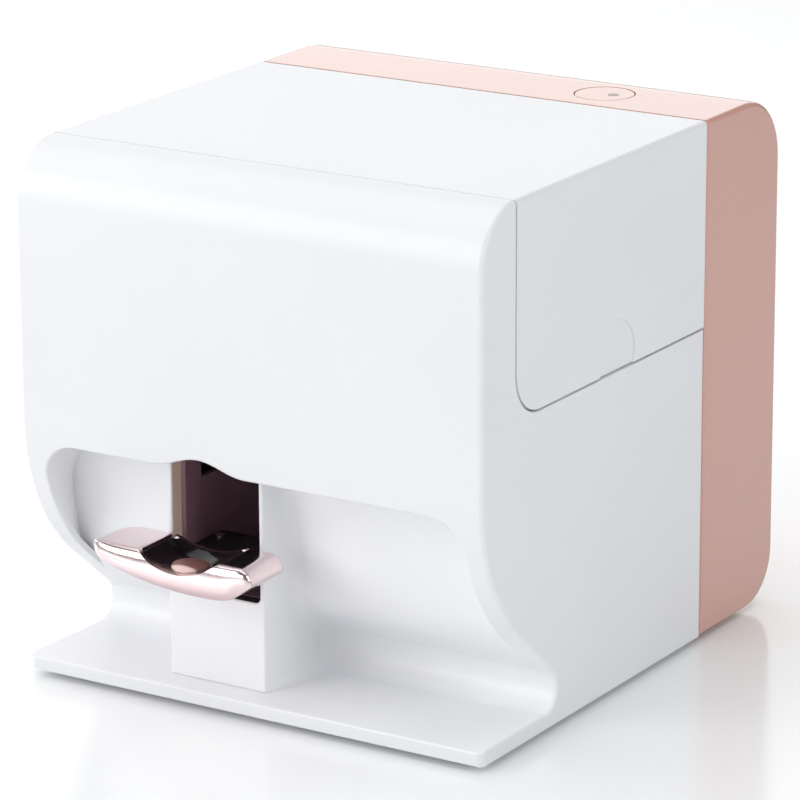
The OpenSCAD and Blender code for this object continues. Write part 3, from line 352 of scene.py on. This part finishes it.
def shade_smooth(bm, crease=180.0):
    """Smooth faces, with a sharp edge wherever two of them meet at the crease angle or more."""
    for f in bm.faces:
        f.smooth = True
    for e in bm.edges:
        e.smooth = edge_angle(e) < math.radians(crease)


def loft(bm, rings):
    """Skins closed rings of vertices with quads, closes both ends and returns all the faces."""
    n = len(rings[0])
    sides = [bm.faces.new((a[i], a[(i + 1) % n], b[(i + 1) % n], b[i]))
             for a, b in zip(rings, rings[1:]) for i in range(n)]
    return sides + [bm.faces.new(rings[0]), bm.faces.new(list(reversed(rings[-1])))]


def add_piece(name, bm, body, node_name, mat=None):
    """Piece that stands for a CAD node and rides on that node's body."""
    mesh = bpy.data.meshes.new(name)
    bm.to_mesh(mesh)
    bm.free()
    obj = bpy.data.objects.new(name, mesh)
    scene.collection.objects.link(obj)
    dress(obj, mat or MATERIALS[SLOT_OF[node_name]])
    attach(obj, body)
    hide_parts(node_name)
    return obj


# ---------------------------------------------------------------- rounded shells
MERGE = 2e-6  # metres; vertices closer than this are one
FLAT, SHARP = math.radians(0.6), math.radians(28)  # facets under FLAT join, edges over SHARP round


def rounded(node_name, body, rules, crease=34, shape=None, mat=None):
    """Piece that stands for a CAD node: the same surfaces with their outer edges rounded off.
    Each rule is (radius, steps, test of an edge's middle and direction)."""
    bm = bmesh.new()
    bm.from_mesh(frame["nodes"][node_name].data)
    bmesh.ops.remove_doubles(bm, verts=bm.verts, dist=MERGE)
    bmesh.ops.dissolve_limit(bm, angle_limit=FLAT, verts=bm.verts, edges=bm.edges)
    if shape:
        shape(bm)
    for radius, steps, test in rules:
        picked = []
        for e in bm.edges:
            if edge_angle(e) < SHARP or not e.is_convex:
                continue
            a, b = (Vector(mm_of(v.co)) for v in e.verts)
            if test((a + b) / 2, (b - a).normalized()):
                picked.append(e)
        bmesh.ops.bevel(bm, geom=picked, offset=radius * MM, offset_type="OFFSET",
                        segments=steps, profile=0.5, affect="EDGES", clamp_overlap=False)
        bmesh.ops.remove_doubles(bm, verts=bm.verts, dist=MERGE)
    shade_smooth(bm, crease)
    obj = add_piece(node_name + "_round", bm, body, node_name, mat)
    obj.modifiers.new("even_normals", "WEIGHTED_NORMAL").keep_sharp = True


# outline of the cabinet below its lip and of the recess behind it, as places (y, z)
SLOPE, LEAN = math.radians(50), math.radians(7.5)  # from upright
BELLY, BELLY_R = (80.5, 105.0), 80.5
KNEE, KNEE_R = (58.74, 54.72), 28.0
TOE, TOE_R = (45.9, 17.2), 9.0
RECESS_HALF_W = 95.0


def on_round(centre, r, angle):
    """Point in front of a centre, at an angle below the level line."""
    return centre[0] - r * math.cos(angle), centre[1] - r * math.sin(angle)


BELLY_END = on_round(BELLY, BELLY_R, SLOPE)
KNEE_TOP, KNEE_END = on_round(KNEE, KNEE_R, LEAN), on_round(KNEE, KNEE_R, SLOPE)


def belly_y(z):
    """Distance of the cabinet's outline behind the front face, from the lip down to the toe."""
    if z > BELLY_END[1]:
        return BELLY[0] - math.sqrt(BELLY_R ** 2 - min(0.0, z - BELLY[1]) ** 2)
    return BELLY_END[0] + (BELLY_END[1] - z) * math.tan(SLOPE)


def back_y(z):
    """Distance of the recess's back wall behind the front face."""
    if z > KNEE_TOP[1]:
        return KNEE_TOP[0] - (z - KNEE_TOP[1]) * math.tan(LEAN)
    if z > KNEE_END[1]:
        return KNEE[0] - math.sqrt(KNEE_R ** 2 - (z - KNEE[1]) ** 2)
    return belly_y(z)


# which edges are rounded, and how much
PLATE_CORNER_R, SIDE_R, PLATE_R, SEAM_R, RIM_R, JAMB_R, KEY_R = 3.5, 2.0, 0.8, 0.5, 0.9, 0.8, 0.5
SHARP_BELOW = 4.5  # the base plate keeps its lower edges
NOTCH_Y, NOTCH_Z = 23.9, 129.9  # just outside the notch that the cover fills
RIM_LOW, RIM_HIGH, RIM_BAND = 46.0, 104.0, 0.4
TOWER_SHOWS_TO = 40.0  # further back the tower runs into the recess's wall


def on_front(m):
    return m.y < NEAR


def on_side(m):
    return abs(m.x) > HALF_W - 0.02


def on_top(m):
    return m.z > TOP_Z - NEAR


def on_rim(m):
    return (abs(m.x) < RECESS_HALF_W + NEAR and RIM_LOW < m.z < RIM_HIGH
            and abs(m.y - belly_y(m.z)) < RIM_BAND)


def in_notch(m):
    return m.y > NOTCH_Y and m.z > NOTCH_Z


rounded("front_shell", "housing", [
    (PLATE_CORNER_R, 6,
     lambda m, d: on_side(m) and on_front(m) and m.z < BASE_TOP and abs(d.z) > 0.9),
    (SIDE_R, 5, lambda m, d: on_side(m) and m.z > SHARP_BELOW and not in_notch(m)),
    (PLATE_R, 3, lambda m, d: on_front(m) and m.z < BASE_TOP + NEAR),
    (SEAM_R, 2, lambda m, d: on_side(m) or (on_top(m) and m.y > NOTCH_Y)),
    (RIM_R, 3, lambda m, d: on_rim(m)),
])
rounded("cover", "cover", [
    (SIDE_R, 5, lambda m, d: on_side(m) and on_top(m)),
    (SEAM_R, 2, lambda m, d: on_side(m) or on_top(m)),
])
rounded("rear_housing", "housing", [
    (SIDE_R, 5, lambda m, d: on_side(m) and abs(d.x) < 0.5),
])
rounded("finger_tower", "housing", [
    (JAMB_R, 3, lambda m, d: m.y < TOWER_SHOWS_TO),
], mat=lit_recess_white.mat)


# the recess: side walls that open towards the back, and a hollow on each side of the tower
FLARE = 6.2  # how far the walls open
FLARE_LOW, FLARE_HIGH, FLARE_EASE = 34.0, 104.0, 7.0
FLARE_SLICE, FIRST_SLICE, LAST_SLICE = 3.0, 12, 35
CORNER_LOW, CORNER_RISE, CORNER_MOST = 70.0, 16.0, 1.4  # where the walls come back in
WIDEST = HALF_W - WALL - 0.01
HOLLOW_UP, HOLLOW_SLOPE, HOLLOW_TOE = 5.0, 6.5, 7.0  # radii of the hollow from the ceiling down
HOLLOW_ROOT = 0.3  # how deep the hollow's body sits in both walls
SLOPE_MIDDLE = (46.2, 28.7)


def flare_sides(bm):
    """Opens the side walls of the recess outwards towards the back and rounds their top."""
    for k in range(FIRST_SLICE, LAST_SLICE + 1):
        bmesh.ops.bisect_plane(bm, geom=bm.verts[:] + bm.edges[:] + bm.faces[:], dist=1e-7,
                               plane_co=at(0, 0, k * FLARE_SLICE), plane_no=(0, 0, 1))
    for v in bm.verts:
        x, y, z = mm_of(v.co)
        if abs(x) < RECESS_HALF_W - NEAR or z < FLARE_LOW or z > FLARE_HIGH:
            continue
        front = belly_y(z) + WALL
        depth = min(1.0, max(0.0, (y - front) / max(0.5, back_y(z) - front)))
        open_by = FLARE * min(1.0, (z - FLARE_LOW) / FLARE_EASE)
        if z > CORNER_LOW:
            open_by -= FLARE * min((z - CORNER_LOW) / CORNER_RISE, CORNER_MOST) ** 2
        wide = min(WIDEST, abs(x) + open_by * depth)
        v.co.x = math.copysign(wide * MM, x)


def tower_path():
    """Line where the tower meets the recess, from the ceiling down and forward over the base:
    place (y, z), direction into the room and radius of the hollow between the two."""
    rows = [(back_y(z), z, LEAN, HOLLOW_UP) for z in (96, 84, 72, 60)]
    for i in range(9):
        a = LEAN + (SLOPE - LEAN) * i / 8
        rows.append((*on_round(KNEE, KNEE_R, a), a, HOLLOW_UP + i / 8))
    rows.append((*SLOPE_MIDDLE, SLOPE, HOLLOW_SLOPE))
    for i in range(11):
        a = SLOPE - (SLOPE + math.pi / 2) * i / 10
        rows.append((*on_round(TOE, -TOE_R, a), a, HOLLOW_TOE))
    rows += [(y, BASE_TOP, -math.pi / 2, r) for y, r in ((38, 6.6), (30, 5.2), (22, 3), (13, 0.6))]
    return [(y, z, -math.cos(a), -math.sin(a), r) for y, z, a, r in rows]


def shape_recess(bm):
    flare_sides(bm)
    hollows = []
    quarter = [i * math.pi / 16 for i in range(9)]
    for way in (1, -1):
        edge_x = FINGER_X + way * TOWER_HALF_W
        rings = []
        for y, z, ny, nz, r in tower_path():
            section = [(r * (1 - math.sin(t)), r * (1 - math.cos(t))) for t in quarter]
            section += [(-HOLLOW_ROOT, r), (-HOLLOW_ROOT, -HOLLOW_ROOT), (r, -HOLLOW_ROOT)]
            rings.append([bm.verts.new(at(edge_x + way * u, y + ny * v, z + nz * v))
                          for u, v in section])
        hollows += loft(bm, rings)
    bmesh.ops.recalc_face_normals(bm, faces=hollows)


rounded("recess_panel", "housing", [], 40, shape_recess, lit_recess_white.mat)
rounded("power_button", "power_key", [
    (KEY_R, 3, lambda m, d: on_top(m)),
])


# ---------------------------------------------------------------- finger rest
# Its outline is given by offsets across from the groove's middle and heights over its flat top.
REST_TOP = 67.0
REST_LEFT, REST_RIGHT, REST_DEEP = 39.4, 32.7, 14.7
KEEL_R = 140.0
KEEL = Vector((8.5, KEEL_R - REST_DEEP))
END_R, TIP_R, TURN_R, SHOULDER_R = 5.0, 2.5, 14.0, 6.0
RAKE, TIP_ANGLE = math.radians(54), math.radians(8)
FRONT_GROOVE, BACK_GROOVE = (27.85, 6.6), (38.1, 4.0)  # radius and depth
GROOVE_HALF_W, REST_LIP = 18.0, 1.2
CRADLE_SINK = 0.8  # the lining takes this much of the groove below the lip
FLOOR_STEPS = 40
TOP_CORNER_R, HIDDEN_CORNER_R = 0.8, 1.4
REST_CREASE = 40  # degrees

# the front face: a pillow that swells in front of a fine crease
CREASE_Y, CREASE_INSET = -12.6, 0.9
PILLOW_RISE, PILLOW_POWER, PILLOW_END_POWER = 3.35, 2.3, 5
PILLOW_FULL_T, THINNEST = 9.0, 0.05
PILLOW_RINGS = (0.02, 0.3, 0.55, 0.75, 0.88, 0.96, 1.0)  # shares of the way to the outline
MIDDLE_FROM, MIDDLE_TO, MIDDLE_SHARE = 3.6 - REST_LEFT, REST_RIGHT - 4.2, 0.94

# from the crease to the back, where the corners and the rim are round
SKIN = 0.05
REST_BACK_Y, BACK_LEFT_R, BACK_RIGHT_R, LAST_PLAN_Y = 10.3, 10.0, 2.0, 9.2
POCKET_YS = (-11, -8, -5, -2, 0, 1, 3, 5, 6.5, 7.6, 8.28)
BACK_RIM = ((8.3, SKIN), (9.0, 0.1), (9.6, 0.35), (10.0, 0.75), (10.25, 1.3))  # (y, inset)


def arc_points(centre, r, a0, a1, n):
    return [(centre[0] + r * math.cos(a0 + (a1 - a0) * i / n),
             centre[1] + r * math.sin(a0 + (a1 - a0) * i / n)) for i in range(n + 1)]


def rest_loop(inset=0.0, left=REST_LEFT, right=REST_RIGHT, corner=TOP_CORNER_R,
              groove=FRONT_GROOVE, pocket=False):
    """Outline of the rest across: top, left end, keel, right end, top, then through the groove."""
    end_x = END_R - left
    end = Vector((end_x, KEEL.y - math.sqrt((KEEL_R - END_R) ** 2 - (KEEL.x - end_x) ** 2)))
    shoulder = Vector((right - SHOULDER_R, -SHOULDER_R))
    tip = shoulder + (SHOULDER_R - TIP_R) * Vector((math.cos(TIP_ANGLE), math.sin(TIP_ANGLE)))
    out = Vector((math.cos(RAKE), -math.sin(RAKE)))
    along = Vector((math.sin(RAKE), math.cos(RAKE)))
    reach = tip.dot(out) + TIP_R - TURN_R
    drop = math.sqrt((KEEL_R - TURN_R) ** 2 - (out.dot(KEEL) - reach) ** 2)
    turn = reach * out + (along.dot(KEEL) - drop) * along
    full = 2 * math.pi
    end_angle = full + math.atan2(end.y - KEEL.y, end.x - KEEL.x)
    turn_angle = full + math.atan2(turn.y - KEEL.y, turn.x - KEEL.x)
    r, deep = groove
    groove_half = math.sqrt(r * r - (r - deep + inset) ** 2)
    edge_l, edge_r = inset + corner - left, shoulder.x
    points = [(-groove_half + (edge_l + groove_half) * i / 8, -inset) for i in range(8)]
    points += arc_points((edge_l, -inset - corner), corner, math.pi / 2, math.pi, 6)
    points += arc_points(end, END_R - inset, math.pi, end_angle, 8)
    points += arc_points(KEEL, KEEL_R - inset, end_angle, turn_angle, 36)[1:]
    points += arc_points(turn, TURN_R - inset, turn_angle, full - RAKE, 10)[1:]
    points += arc_points(tip, TIP_R - inset, full - RAKE, full + TIP_ANGLE, 6)
    points += arc_points(shoulder, SHOULDER_R - inset, TIP_ANGLE, math.pi / 2, 10)[1:]
    points += [(edge_r + (groove_half - edge_r) * i / 6, -inset) for i in range(1, 7)]
    swing = math.asin(groove_half / r)
    for i in range(1, FLOOR_STEPS):
        a = swing - 2 * swing * i / FLOOR_STEPS
        below_lip = r - deep - r * math.cos(a) < -REST_LIP
        far = r + CRADLE_SINK if pocket and below_lip else r
        points.append((far * math.sin(a), r - deep - far * math.cos(a)))
    return points


OUTLINE = rest_loop()
WITHOUT_GROOVE = OUTLINE[:-FLOOR_STEPS + 1]


def rest_span(u):
    """Heights of the underside and of the top at an offset across, the groove left out."""
    heights = []
    for (u0, w0), (u1, w1) in zip(WITHOUT_GROOVE, WITHOUT_GROOVE[1:] + WITHOUT_GROOVE[:1]):
        if min(u0, u1) <= u <= max(u0, u1) and abs(u1 - u0) > 1e-6:
            heights.append(w0 + (w1 - w0) * (u - u0) / (u1 - u0))
    return (min(heights), max(heights)) if heights else (0.0, 0.0)


def pillow(u, w):
    """How far the front face stands in front of the crease."""
    low, high = rest_span(u)
    thick = high - low
    if thick < THINNEST:
        return 0.0
    v = min(1.0, max(0.0, (w - low) / thick))
    middle, half = (REST_RIGHT - REST_LEFT) / 2, (REST_RIGHT + REST_LEFT) / 2
    across = max(0.0, 1 - abs((u - middle) / half) ** PILLOW_END_POWER) ** 0.5
    across *= min(1.0, thick / PILLOW_FULL_T) ** 0.5
    return PILLOW_RISE * across * (1 - abs(2 * v - 1) ** PILLOW_POWER) ** (1 / PILLOW_POWER)


def groove_floor(u):
    r, deep = FRONT_GROOVE
    return r - deep - math.sqrt(r * r - u * u)


def face_middle(u):
    """Point of the front face's long middle line that an outline point is joined to."""
    u = max(MIDDLE_FROM, min(MIDDLE_TO, u * MIDDLE_SHARE))
    low, high = rest_span(u)
    if abs(u) < GROOVE_HALF_W:
        high = min(high, groove_floor(u))
    return Vector((u, (low + high) / 2))


def plan(reach, corner, y):
    """How far the rest reaches to one side at a distance behind the front face."""
    past = max(0.0, y - (REST_BACK_Y - corner))
    return reach - corner + math.sqrt(max(0.0, corner * corner - past * past))


def make_rest():
    bm = bmesh.new()
    rings = []
    n = len(OUTLINE)

    def ring(points, ys):
        rings.append([bm.verts.new(at(FINGER_X + u, y, REST_TOP + w))
                      for (u, w), y in zip(points, ys)])

    for share in PILLOW_RINGS:
        points, ys = [], []
        for i, (u, w) in enumerate(OUTLINE):
            point = face_middle(u).lerp(Vector((u, w)), share)
            points.append(point)
            on_outline = share == 1 and i < len(WITHOUT_GROOVE)
            ys.append(CREASE_Y if on_outline else CREASE_Y - pillow(*point))
        ring(points, ys)
    ring(rest_loop(CREASE_INSET), [CREASE_Y + 0.2] * n)
    ring(rest_loop(CREASE_INSET), [CREASE_Y + 0.35] * n)
    ring(rest_loop(SKIN, corner=HIDDEN_CORNER_R), [CREASE_Y + 0.5] * n)
    for y in POCKET_YS:
        left, right = plan(REST_LEFT, BACK_LEFT_R, y), plan(REST_RIGHT, BACK_RIGHT_R, y)
        ring(rest_loop(SKIN, left, right, HIDDEN_CORNER_R, pocket=True), [y] * n)
    for y, inset in BACK_RIM:
        plan_y = min(y, LAST_PLAN_Y)
        left, right = plan(REST_LEFT, BACK_LEFT_R, plan_y), plan(REST_RIGHT, BACK_RIGHT_R, plan_y)
        ring(rest_loop(inset, left, right, HIDDEN_CORNER_R, BACK_GROOVE), [y] * n)
    loft(bm, rings)
    bmesh.ops.remove_doubles(bm, verts=bm.verts, dist=2e-5)
    bmesh.ops.recalc_face_normals(bm, faces=bm.faces)
    shade_smooth(bm, REST_CREASE)
    add_piece("rest_boat", bm, "finger_rest", "rest_cover")


make_rest()

PAD_Y, PAD_R, PAD_RISE, PAD_POWER, PAD_FOOT = -5.0, 7.4, 2.5, 0.45, 0.2
PAD_RINGS = (*(0.12 * i for i in range(1, 9)), 0.99, 1.0)  # shares of the radius
PAD_SIDES = 48


def make_pad():
    """Low dome of soft rose plastic on the floor of the groove."""
    bm = bmesh.new()
    top = PAD_RISE - FRONT_GROOVE[1]

    def ring(share, sunk=0.0):
        verts = []
        for i in range(PAD_SIDES):
            a = 2 * math.pi * i / PAD_SIDES
            u, v = PAD_R * share * math.cos(a), PAD_R * share * math.sin(a)
            floor = groove_floor(u)
            w = floor + (top - floor) * (1 - share * share) ** PAD_POWER - sunk
            verts.append(bm.verts.new(at(FINGER_X + u, PAD_Y + v, REST_TOP + w)))
        return verts

    loft(bm, [ring(share) for share in PAD_RINGS] + [ring(1.0, PAD_FOOT)])
    bmesh.ops.recalc_face_normals(bm, faces=bm.faces)
    shade_smooth(bm)
    add_piece("pad_dome", bm, "finger_rest", "rest_pad")


make_pad()

WIRE_R, TURNS, STEPS_PER_TURN, WIRE_SIDES = 0.35 * MM, 7, 24, 8  # radius in metres


def make_springs():
    """Two wound springs under the carrier, with an even pitch from foot to top."""
    low, high = (Vector(corner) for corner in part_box("rest_springs"))
    up = Vector((0, 0, 1))
    outer = (high.y - low.y) / 2
    coil_r, rise = outer - WIRE_R, high.z - low.z - 2 * WIRE_R
    steps = TURNS * STEPS_PER_TURN
    bm = bmesh.new()
    for x in (low.x + outer, high.x - outer):
        foot = Vector((x, low.y + outer, low.z + WIRE_R))
        rings = []
        for i in range(steps + 1):
            a = 2 * math.pi * i / STEPS_PER_TURN
            out = Vector((math.cos(a), math.sin(a), 0))
            middle = foot + out * coil_r + up * (rise * i / steps)
            around = (2 * math.pi * k / WIRE_SIDES for k in range(WIRE_SIDES))
            rings.append([bm.verts.new(middle + WIRE_R * (out * math.cos(t) + up * math.sin(t)))
                          for t in around])
        loft(bm, rings)
    bmesh.ops.recalc_face_normals(bm, faces=bm.faces)
    for f in bm.faces:
        f.smooth = len(f.verts) == 4
    obj = add_piece("spring_coils", bm, "housing", "rest_springs")
    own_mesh(obj)


make_springs()


# ---------------------------------------------------------------- floor and light
# everything here is in metres and watts
FLOOR_HALF = 6.0
SKY_COLOUR, SKY = (0.97, 0.985, 1.0, 1), 0.15
AIM = Vector((0, 0, 0.1))
LIGHTS = (  # name, place, size, power
    ("overhead", (0.0, 0.2, 1.9), (2.6, 2.2), 22.5),
    ("front_left", (-1.5, -1.9, 1.1), (1.5, 1.5), 23.5),
    ("front_low", (-0.2, -2.4, 0.6), (2.0, 0.9), 12.8),
    ("left", (-2.2, -0.2, 1.0), (1.5, 1.5), 18.1),
    ("right", (1.9, -0.4, 0.9), (1.2, 1.2), 15.2),
    ("back_left", (-1.4, 2.1, 0.9), (3.0, 1.4), 16.4),
)


def make_floor():
    mesh = bpy.data.meshes.new("floor")
    s = FLOOR_HALF
    mesh.from_pydata([(-s, -s, 0), (s, -s, 0), (s, s, 0), (-s, s, 0)], [], [(0, 1, 2, 3)])
    obj = bpy.data.objects.new("floor", mesh)
    scene.collection.objects.link(obj)
    m = Paint("floor_gloss")
    m.colour(m.noise(3, 2), (0.95, 0.96, 0.965), (0.97, 0.975, 0.98))
    m.roughness(m.noise(6, 2), 0.12, 0.18)
    dress(obj, m.mat)


def make_light():
    world = bpy.data.worlds.new("studio")
    world.use_nodes = True
    sky = world.node_tree.nodes["Background"]
    sky.inputs["Color"].default_value = SKY_COLOUR
    sky.inputs["Strength"].default_value = SKY
    scene.world = world
    for name, place, size, power in LIGHTS:
        data = bpy.data.lights.new(name, "AREA")
        data.shape = "RECTANGLE"
        data.size, data.size_y = size
        data.energy = power
        obj = bpy.data.objects.new(name, data)
        obj.location = place
        obj.rotation_mode = "QUATERNION"
        obj.rotation_quaternion = (AIM - Vector(place)).to_track_quat("-Z", "Y")
        scene.collection.objects.link(obj)
    scene.view_settings.view_transform = "Standard"
    scene.view_settings.look = "None"


make_floor()
make_light()
